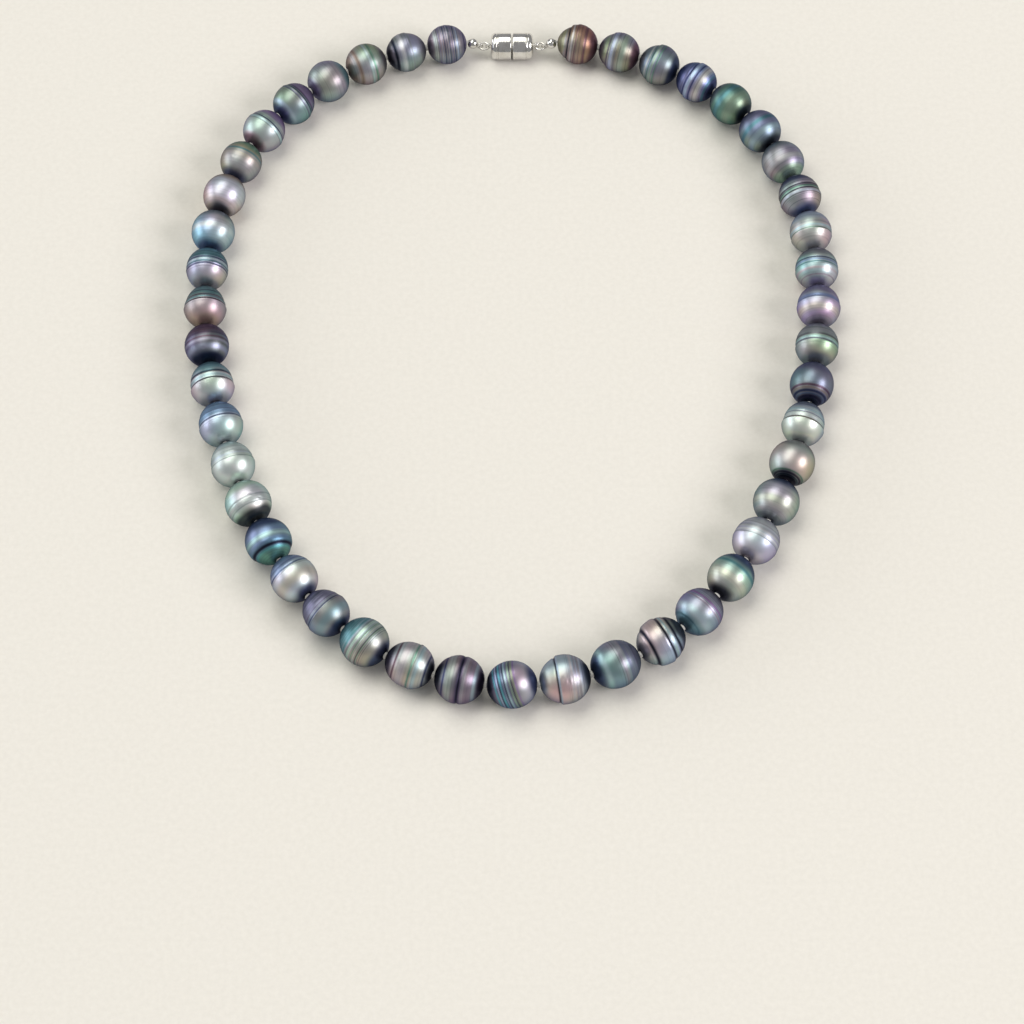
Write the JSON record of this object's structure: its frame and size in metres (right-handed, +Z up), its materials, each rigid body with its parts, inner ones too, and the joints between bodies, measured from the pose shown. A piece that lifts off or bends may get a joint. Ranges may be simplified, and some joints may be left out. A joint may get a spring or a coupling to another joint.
{
  "type": "pearl necklace",
  "caption": "Knotted strand of graduated dark baroque pearls with lustrous multicoloured nacre, closed by a small silver clasp and lying flat in an egg-shaped loop.",
  "frame": {"origin": "centre of the loop's outline, on the plane that the strand lies on", "axes": "+Z up from the plane that the strand lies on; +Y from the front pearl to the clasp; +X to the right of a viewer who faces the front pearl"},
  "size_m": [0.1396, 0.1729, 0.0098],
  "materials": {
    "nacre_silver": "lustrous silver-grey nacre with pink and lavender overtones",
    "nacre_peacock": "lustrous dark green nacre with blue-green overtones",
    "nacre_aubergine": "lustrous dark violet-grey nacre with purple overtones",
    "nacre_pistachio": "lustrous grey-green nacre with yellow-green overtones",
    "nacre_bronze": "lustrous brown-rose nacre with olive overtones",
    "nacre_navy": "lustrous blue-black nacre with violet and teal overtones",
    "silk": "twisted silk, matte",
    "silver": "polished sterling silver",
    "magnet": "nickel-plated magnet, satin"
  },
  "bodies": {
    "front_pearl": {"pearl_front": "nacre_navy", "silk_thread": "silk"},
    "left_pearl_01": {"pearl_left_01": "nacre_aubergine"},
    "left_pearl_02": {"pearl_left_02": "nacre_silver"},
    "left_pearl_03": {"pearl_left_03": "nacre_peacock"},
    "left_pearl_04": {"pearl_left_04": "nacre_silver"},
    "left_pearl_05": {"pearl_left_05": "nacre_silver"},
    "left_pearl_06": {"pearl_left_06": "nacre_peacock"},
    "left_pearl_07": {"pearl_left_07": "nacre_pistachio"},
    "left_pearl_08": {"pearl_left_08": "nacre_pistachio"},
    "left_pearl_09": {"pearl_left_09": "nacre_peacock"},
    "left_pearl_10": {"pearl_left_10": "nacre_silver"},
    "left_pearl_11": {"pearl_left_11": "nacre_navy"},
    "left_pearl_12": {"pearl_left_12": "nacre_bronze"},
    "left_pearl_13": {"pearl_left_13": "nacre_silver"},
    "left_pearl_14": {"pearl_left_14": "nacre_peacock"},
    "left_pearl_15": {"pearl_left_15": "nacre_bronze"},
    "left_pearl_16": {"pearl_left_16": "nacre_bronze"},
    "left_pearl_17": {"pearl_left_17": "nacre_silver"},
    "left_pearl_18": {"pearl_left_18": "nacre_pistachio"},
    "left_pearl_19": {"pearl_left_19": "nacre_silver"},
    "left_pearl_20": {"pearl_left_20": "nacre_bronze"},
    "left_pearl_21": {"pearl_left_21": "nacre_silver"},
    "left_pearl_22": {"pearl_left_22": "nacre_aubergine"},
    "left_bead_tip": {"bead_tip_left": "silver"},
    "left_jump_ring": {"jump_ring_left": "silver"},
    "left_clasp": {"clasp_cup_left": "silver", "magnet_left": "magnet"},
    "right_pearl_01": {"pearl_right_01": "nacre_silver"},
    "right_pearl_02": {"pearl_right_02": "nacre_peacock"},
    "right_pearl_03": {"pearl_right_03": "nacre_silver"},
    "right_pearl_04": {"pearl_right_04": "nacre_aubergine"},
    "right_pearl_05": {"pearl_right_05": "nacre_pistachio"},
    "right_pearl_06": {"pearl_right_06": "nacre_silver"},
    "right_pearl_07": {"pearl_right_07": "nacre_peacock"},
    "right_pearl_08": {"pearl_right_08": "nacre_bronze"},
    "right_pearl_09": {"pearl_right_09": "nacre_pistachio"},
    "right_pearl_10": {"pearl_right_10": "nacre_navy"},
    "right_pearl_11": {"pearl_right_11": "nacre_pistachio"},
    "right_pearl_12": {"pearl_right_12": "nacre_aubergine"},
    "right_pearl_13": {"pearl_right_13": "nacre_silver"},
    "right_pearl_14": {"pearl_right_14": "nacre_silver"},
    "right_pearl_15": {"pearl_right_15": "nacre_bronze"},
    "right_pearl_16": {"pearl_right_16": "nacre_peacock"},
    "right_pearl_17": {"pearl_right_17": "nacre_navy"},
    "right_pearl_18": {"pearl_right_18": "nacre_peacock"},
    "right_pearl_19": {"pearl_right_19": "nacre_navy"},
    "right_pearl_20": {"pearl_right_20": "nacre_pistachio"},
    "right_pearl_21": {"pearl_right_21": "nacre_aubergine"},
    "right_pearl_22": {"pearl_right_22": "nacre_bronze"},
    "right_bead_tip": {"bead_tip_right": "silver"},
    "right_jump_ring": {"jump_ring_right": "silver"},
    "right_clasp": {"clasp_cup_right": "silver", "magnet_right": "magnet"}
  },
  "joints": [
    {"name": "left_front_bend", "type": "hinge", "parent": "front_pearl", "child": "left_pearl_01", "pos_m": [-0.0053, -0.08169, 0], "axis": [0, 0, 1], "range_deg": [0, 14], "deforming": ["silk_thread"]},
    {"name": "left_pearl_02_bend", "type": "hinge", "parent": "left_pearl_01", "child": "left_pearl_02", "pos_m": [-0.01561, -0.07943, 0], "axis": [0, 0, 1], "range_deg": [0, 14], "deforming": ["silk_thread"]},
    {"name": "left_pearl_03_bend", "type": "hinge", "parent": "left_pearl_02", "child": "left_pearl_03", "pos_m": [-0.02522, -0.07506, 0], "axis": [0, 0, 1], "range_deg": [0, 14], "deforming": ["silk_thread"]},
    {"name": "left_pearl_04_bend", "type": "hinge", "parent": "left_pearl_03", "child": "left_pearl_04", "pos_m": [-0.03386, -0.06882, 0], "axis": [0, 0, 1], "range_deg": [0, 14], "deforming": ["silk_thread"]},
    {"name": "left_pearl_05_bend", "type": "hinge", "parent": "left_pearl_04", "child": "left_pearl_05", "pos_m": [-0.04111, -0.06132, 0], "axis": [0, 0, 1], "range_deg": [0, 14], "deforming": ["silk_thread"]},
    {"name": "left_pearl_06_bend", "type": "hinge", "parent": "left_pearl_05", "child": "left_pearl_06", "pos_m": [-0.04715, -0.05286, 0], "axis": [0, 0, 1], "range_deg": [0, 14], "deforming": ["silk_thread"]},
    {"name": "left_pearl_07_bend", "type": "hinge", "parent": "left_pearl_06", "child": "left_pearl_07", "pos_m": [-0.05213, -0.04374, 0], "axis": [0, 0, 1], "range_deg": [0, 14], "deforming": ["silk_thread"]},
    {"name": "left_side_bend", "type": "hinge", "parent": "left_pearl_07", "child": "left_pearl_08", "pos_m": [-0.05611, -0.03438, 0], "axis": [0, 0, 1], "range_deg": [0, 14], "deforming": ["silk_thread"]},
    {"name": "left_pearl_09_bend", "type": "hinge", "parent": "left_pearl_08", "child": "left_pearl_09", "pos_m": [-0.05934, -0.02465, 0], "axis": [0, 0, 1], "range_deg": [0, 14], "deforming": ["silk_thread"]},
    {"name": "left_pearl_10_bend", "type": "hinge", "parent": "left_pearl_09", "child": "left_pearl_10", "pos_m": [-0.06187, -0.01472, 0], "axis": [0, 0, 1], "range_deg": [0, 14], "deforming": ["silk_thread"]},
    {"name": "left_pearl_11_bend", "type": "hinge", "parent": "left_pearl_10", "child": "left_pearl_11", "pos_m": [-0.06374, -0.00464, 0], "axis": [0, 0, 1], "range_deg": [0, 14], "deforming": ["silk_thread"]},
    {"name": "left_pearl_12_bend", "type": "hinge", "parent": "left_pearl_11", "child": "left_pearl_12", "pos_m": [-0.0649, 0.00523, 0], "axis": [0, 0, 1], "range_deg": [0, 14], "deforming": ["silk_thread"]},
    {"name": "left_pearl_13_bend", "type": "hinge", "parent": "left_pearl_12", "child": "left_pearl_13", "pos_m": [-0.06536, 0.01517, 0], "axis": [0, 0, 1], "range_deg": [0, 14], "deforming": ["silk_thread"]},
    {"name": "left_pearl_14_bend", "type": "hinge", "parent": "left_pearl_13", "child": "left_pearl_14", "pos_m": [-0.065, 0.02499, 0], "axis": [0, 0, 1], "range_deg": [0, 14], "deforming": ["silk_thread"]},
    {"name": "left_pearl_15_bend", "type": "hinge", "parent": "left_pearl_14", "child": "left_pearl_15", "pos_m": [-0.06361, 0.03493, 0], "axis": [0, 0, 1], "range_deg": [0, 14], "deforming": ["silk_thread"]},
    {"name": "left_back_bend", "type": "hinge", "parent": "left_pearl_15", "child": "left_pearl_16", "pos_m": [-0.06101, 0.04452, 0], "axis": [0, 0, 1], "range_deg": [0, 14], "deforming": ["silk_thread"]},
    {"name": "left_pearl_17_bend", "type": "hinge", "parent": "left_pearl_16", "child": "left_pearl_17", "pos_m": [-0.0571, 0.05333, 0], "axis": [0, 0, 1], "range_deg": [0, 14], "deforming": ["silk_thread"]},
    {"name": "left_pearl_18_bend", "type": "hinge", "parent": "left_pearl_17", "child": "left_pearl_18", "pos_m": [-0.05156, 0.06156, 0], "axis": [0, 0, 1], "range_deg": [0, 14], "deforming": ["silk_thread"]},
    {"name": "left_pearl_19_bend", "type": "hinge", "parent": "left_pearl_18", "child": "left_pearl_19", "pos_m": [-0.04462, 0.06857, 0], "axis": [0, 0, 1], "range_deg": [0, 14], "deforming": ["silk_thread"]},
    {"name": "left_pearl_20_bend", "type": "hinge", "parent": "left_pearl_19", "child": "left_pearl_20", "pos_m": [-0.03669, 0.07413, 0], "axis": [0, 0, 1], "range_deg": [0, 14], "deforming": ["silk_thread"]},
    {"name": "left_pearl_21_bend", "type": "hinge", "parent": "left_pearl_20", "child": "left_pearl_21", "pos_m": [-0.02803, 0.07829, 0], "axis": [0, 0, 1], "range_deg": [0, 14], "deforming": ["silk_thread"]},
    {"name": "left_pearl_22_bend", "type": "hinge", "parent": "left_pearl_21", "child": "left_pearl_22", "pos_m": [-0.01908, 0.08113, 0], "axis": [0, 0, 1], "range_deg": [0, 14], "deforming": ["silk_thread"]},
    {"name": "left_bead_tip_bend", "type": "hinge", "parent": "left_pearl_22", "child": "left_bead_tip", "pos_m": [-0.00995, 0.0828, 0], "axis": [0, 0, 1], "range_deg": [0, 14], "deforming": ["silk_thread"]},
    {"name": "left_jump_ring_bend", "type": "hinge", "parent": "left_bead_tip", "child": "left_jump_ring", "pos_m": [-0.00723, 0.0828, 0], "axis": [0, 0, 1], "range_deg": [0, 14], "deforming": ["silk_thread"]},
    {"name": "left_clasp_bend", "type": "hinge", "parent": "left_jump_ring", "child": "left_clasp", "pos_m": [-0.00523, 0.0828, 0], "axis": [0, 0, 1], "range_deg": [0, 14], "deforming": ["silk_thread"]},
    {"name": "right_front_bend", "type": "hinge", "parent": "front_pearl", "child": "right_pearl_01", "pos_m": [0.0053, -0.08169, 0], "axis": [0, 0, -1], "range_deg": [0, 14], "deforming": ["silk_thread"]},
    {"name": "right_pearl_02_bend", "type": "hinge", "parent": "right_pearl_01", "child": "right_pearl_02", "pos_m": [0.01581, -0.07936, 0], "axis": [0, 0, -1], "range_deg": [0, 14], "deforming": ["silk_thread"]},
    {"name": "right_pearl_03_bend", "type": "hinge", "parent": "right_pearl_02", "child": "right_pearl_03", "pos_m": [0.02555, -0.07487, 0], "axis": [0, 0, -1], "range_deg": [0, 14], "deforming": ["silk_thread"]},
    {"name": "right_pearl_04_bend", "type": "hinge", "parent": "right_pearl_03", "child": "right_pearl_04", "pos_m": [0.03415, -0.06856, 0], "axis": [0, 0, -1], "range_deg": [0, 14], "deforming": ["silk_thread"]},
    {"name": "right_pearl_05_bend", "type": "hinge", "parent": "right_pearl_04", "child": "right_pearl_05", "pos_m": [0.04126, -0.06112, 0], "axis": [0, 0, -1], "range_deg": [0, 14], "deforming": ["silk_thread"]},
    {"name": "right_pearl_06_bend", "type": "hinge", "parent": "right_pearl_05", "child": "right_pearl_06", "pos_m": [0.04731, -0.0526, 0], "axis": [0, 0, -1], "range_deg": [0, 14], "deforming": ["silk_thread"]},
    {"name": "right_pearl_07_bend", "type": "hinge", "parent": "right_pearl_06", "child": "right_pearl_07", "pos_m": [0.05224, -0.04351, 0], "axis": [0, 0, -1], "range_deg": [0, 14], "deforming": ["silk_thread"]},
    {"name": "right_side_bend", "type": "hinge", "parent": "right_pearl_07", "child": "right_pearl_08", "pos_m": [0.05625, -0.034, 0], "axis": [0, 0, -1], "range_deg": [0, 14], "deforming": ["silk_thread"]},
    {"name": "right_pearl_09_bend", "type": "hinge", "parent": "right_pearl_08", "child": "right_pearl_09", "pos_m": [0.05941, -0.02439, 0], "axis": [0, 0, -1], "range_deg": [0, 14], "deforming": ["silk_thread"]},
    {"name": "right_pearl_10_bend", "type": "hinge", "parent": "right_pearl_09", "child": "right_pearl_10", "pos_m": [0.06189, -0.0146, 0], "axis": [0, 0, -1], "range_deg": [0, 14], "deforming": ["silk_thread"]},
    {"name": "right_pearl_11_bend", "type": "hinge", "parent": "right_pearl_10", "child": "right_pearl_11", "pos_m": [0.06374, -0.00464, 0], "axis": [0, 0, -1], "range_deg": [0, 14], "deforming": ["silk_thread"]},
    {"name": "right_pearl_12_bend", "type": "hinge", "parent": "right_pearl_11", "child": "right_pearl_12", "pos_m": [0.06491, 0.00529, 0], "axis": [0, 0, -1], "range_deg": [0, 14], "deforming": ["silk_thread"]},
    {"name": "right_pearl_13_bend", "type": "hinge", "parent": "right_pearl_12", "child": "right_pearl_13", "pos_m": [0.06536, 0.01531, 0], "axis": [0, 0, -1], "range_deg": [0, 14], "deforming": ["silk_thread"]},
    {"name": "right_pearl_14_bend", "type": "hinge", "parent": "right_pearl_13", "child": "right_pearl_14", "pos_m": [0.06499, 0.02512, 0], "axis": [0, 0, -1], "range_deg": [0, 14], "deforming": ["silk_thread"]},
    {"name": "right_pearl_15_bend", "type": "hinge", "parent": "right_pearl_14", "child": "right_pearl_15", "pos_m": [0.06364, 0.03481, 0], "axis": [0, 0, -1], "range_deg": [0, 14], "deforming": ["silk_thread"]},
    {"name": "right_back_bend", "type": "hinge", "parent": "right_pearl_15", "child": "right_pearl_16", "pos_m": [0.06104, 0.04442, 0], "axis": [0, 0, -1], "range_deg": [0, 14], "deforming": ["silk_thread"]},
    {"name": "right_pearl_17_bend", "type": "hinge", "parent": "right_pearl_16", "child": "right_pearl_17", "pos_m": [0.05707, 0.05337, 0], "axis": [0, 0, -1], "range_deg": [0, 14], "deforming": ["silk_thread"]},
    {"name": "right_pearl_18_bend", "type": "hinge", "parent": "right_pearl_17", "child": "right_pearl_18", "pos_m": [0.05163, 0.06148, 0], "axis": [0, 0, -1], "range_deg": [0, 14], "deforming": ["silk_thread"]},
    {"name": "right_pearl_19_bend", "type": "hinge", "parent": "right_pearl_18", "child": "right_pearl_19", "pos_m": [0.04476, 0.06846, 0], "axis": [0, 0, -1], "range_deg": [0, 14], "deforming": ["silk_thread"]},
    {"name": "right_pearl_20_bend", "type": "hinge", "parent": "right_pearl_19", "child": "right_pearl_20", "pos_m": [0.03692, 0.07399, 0], "axis": [0, 0, -1], "range_deg": [0, 14], "deforming": ["silk_thread"]},
    {"name": "right_pearl_21_bend", "type": "hinge", "parent": "right_pearl_20", "child": "right_pearl_21", "pos_m": [0.02845, 0.07813, 0], "axis": [0, 0, -1], "range_deg": [0, 14], "deforming": ["silk_thread"]},
    {"name": "right_pearl_22_bend", "type": "hinge", "parent": "right_pearl_21", "child": "right_pearl_22", "pos_m": [0.01929, 0.08107, 0], "axis": [0, 0, -1], "range_deg": [0, 14], "deforming": ["silk_thread"]},
    {"name": "right_bead_tip_bend", "type": "hinge", "parent": "right_pearl_22", "child": "right_bead_tip", "pos_m": [0.00995, 0.0828, 0], "axis": [0, 0, -1], "range_deg": [0, 14], "deforming": ["silk_thread"]},
    {"name": "right_jump_ring_bend", "type": "hinge", "parent": "right_bead_tip", "child": "right_jump_ring", "pos_m": [0.00729, 0.0828, 0], "axis": [0, 0, -1], "range_deg": [0, 14], "deforming": ["silk_thread"]},
    {"name": "right_clasp_bend", "type": "hinge", "parent": "right_jump_ring", "child": "right_clasp", "pos_m": [0.00529, 0.0828, 0], "axis": [0, 0, -1], "range_deg": [0, 14], "deforming": ["silk_thread"]}
  ],
  "couplings": [
    {"joint": "left_pearl_02_bend", "follows": "left_front_bend", "ratio": 1},
    {"joint": "left_pearl_03_bend", "follows": "left_front_bend", "ratio": 1},
    {"joint": "left_pearl_04_bend", "follows": "left_front_bend", "ratio": 1},
    {"joint": "left_pearl_05_bend", "follows": "left_front_bend", "ratio": 1},
    {"joint": "left_pearl_06_bend", "follows": "left_front_bend", "ratio": 1},
    {"joint": "left_pearl_07_bend", "follows": "left_front_bend", "ratio": 1},
    {"joint": "left_pearl_09_bend", "follows": "left_side_bend", "ratio": 1},
    {"joint": "left_pearl_10_bend", "follows": "left_side_bend", "ratio": 1},
    {"joint": "left_pearl_11_bend", "follows": "left_side_bend", "ratio": 1},
    {"joint": "left_pearl_12_bend", "follows": "left_side_bend", "ratio": 1},
    {"joint": "left_pearl_13_bend", "follows": "left_side_bend", "ratio": 1},
    {"joint": "left_pearl_14_bend", "follows": "left_side_bend", "ratio": 1},
    {"joint": "left_pearl_15_bend", "follows": "left_side_bend", "ratio": 1},
    {"joint": "left_pearl_17_bend", "follows": "left_back_bend", "ratio": 1},
    {"joint": "left_pearl_18_bend", "follows": "left_back_bend", "ratio": 1},
    {"joint": "left_pearl_19_bend", "follows": "left_back_bend", "ratio": 1},
    {"joint": "left_pearl_20_bend", "follows": "left_back_bend", "ratio": 1},
    {"joint": "left_pearl_21_bend", "follows": "left_back_bend", "ratio": 1},
    {"joint": "left_pearl_22_bend", "follows": "left_back_bend", "ratio": 1},
    {"joint": "left_bead_tip_bend", "follows": "left_back_bend", "ratio": 1},
    {"joint": "left_jump_ring_bend", "follows": "left_back_bend", "ratio": 1},
    {"joint": "left_clasp_bend", "follows": "left_back_bend", "ratio": 1},
    {"joint": "right_pearl_02_bend", "follows": "right_front_bend", "ratio": 1},
    {"joint": "right_pearl_03_bend", "follows": "right_front_bend", "ratio": 1},
    {"joint": "right_pearl_04_bend", "follows": "right_front_bend", "ratio": 1},
    {"joint": "right_pearl_05_bend", "follows": "right_front_bend", "ratio": 1},
    {"joint": "right_pearl_06_bend", "follows": "right_front_bend", "ratio": 1},
    {"joint": "right_pearl_07_bend", "follows": "right_front_bend", "ratio": 1},
    {"joint": "right_pearl_09_bend", "follows": "right_side_bend", "ratio": 1},
    {"joint": "right_pearl_10_bend", "follows": "right_side_bend", "ratio": 1},
    {"joint": "right_pearl_11_bend", "follows": "right_side_bend", "ratio": 1},
    {"joint": "right_pearl_12_bend", "follows": "right_side_bend", "ratio": 1},
    {"joint": "right_pearl_13_bend", "follows": "right_side_bend", "ratio": 1},
    {"joint": "right_pearl_14_bend", "follows": "right_side_bend", "ratio": 1},
    {"joint": "right_pearl_15_bend", "follows": "right_side_bend", "ratio": 1},
    {"joint": "right_pearl_17_bend", "follows": "right_back_bend", "ratio": 1},
    {"joint": "right_pearl_18_bend", "follows": "right_back_bend", "ratio": 1},
    {"joint": "right_pearl_19_bend", "follows": "right_back_bend", "ratio": 1},
    {"joint": "right_pearl_20_bend", "follows": "right_back_bend", "ratio": 1},
    {"joint": "right_pearl_21_bend", "follows": "right_back_bend", "ratio": 1},
    {"joint": "right_pearl_22_bend", "follows": "right_back_bend", "ratio": 1},
    {"joint": "right_bead_tip_bend", "follows": "right_back_bend", "ratio": 1},
    {"joint": "right_jump_ring_bend", "follows": "right_back_bend", "ratio": 1},
    {"joint": "right_clasp_bend", "follows": "right_back_bend", "ratio": 1}
  ]
}
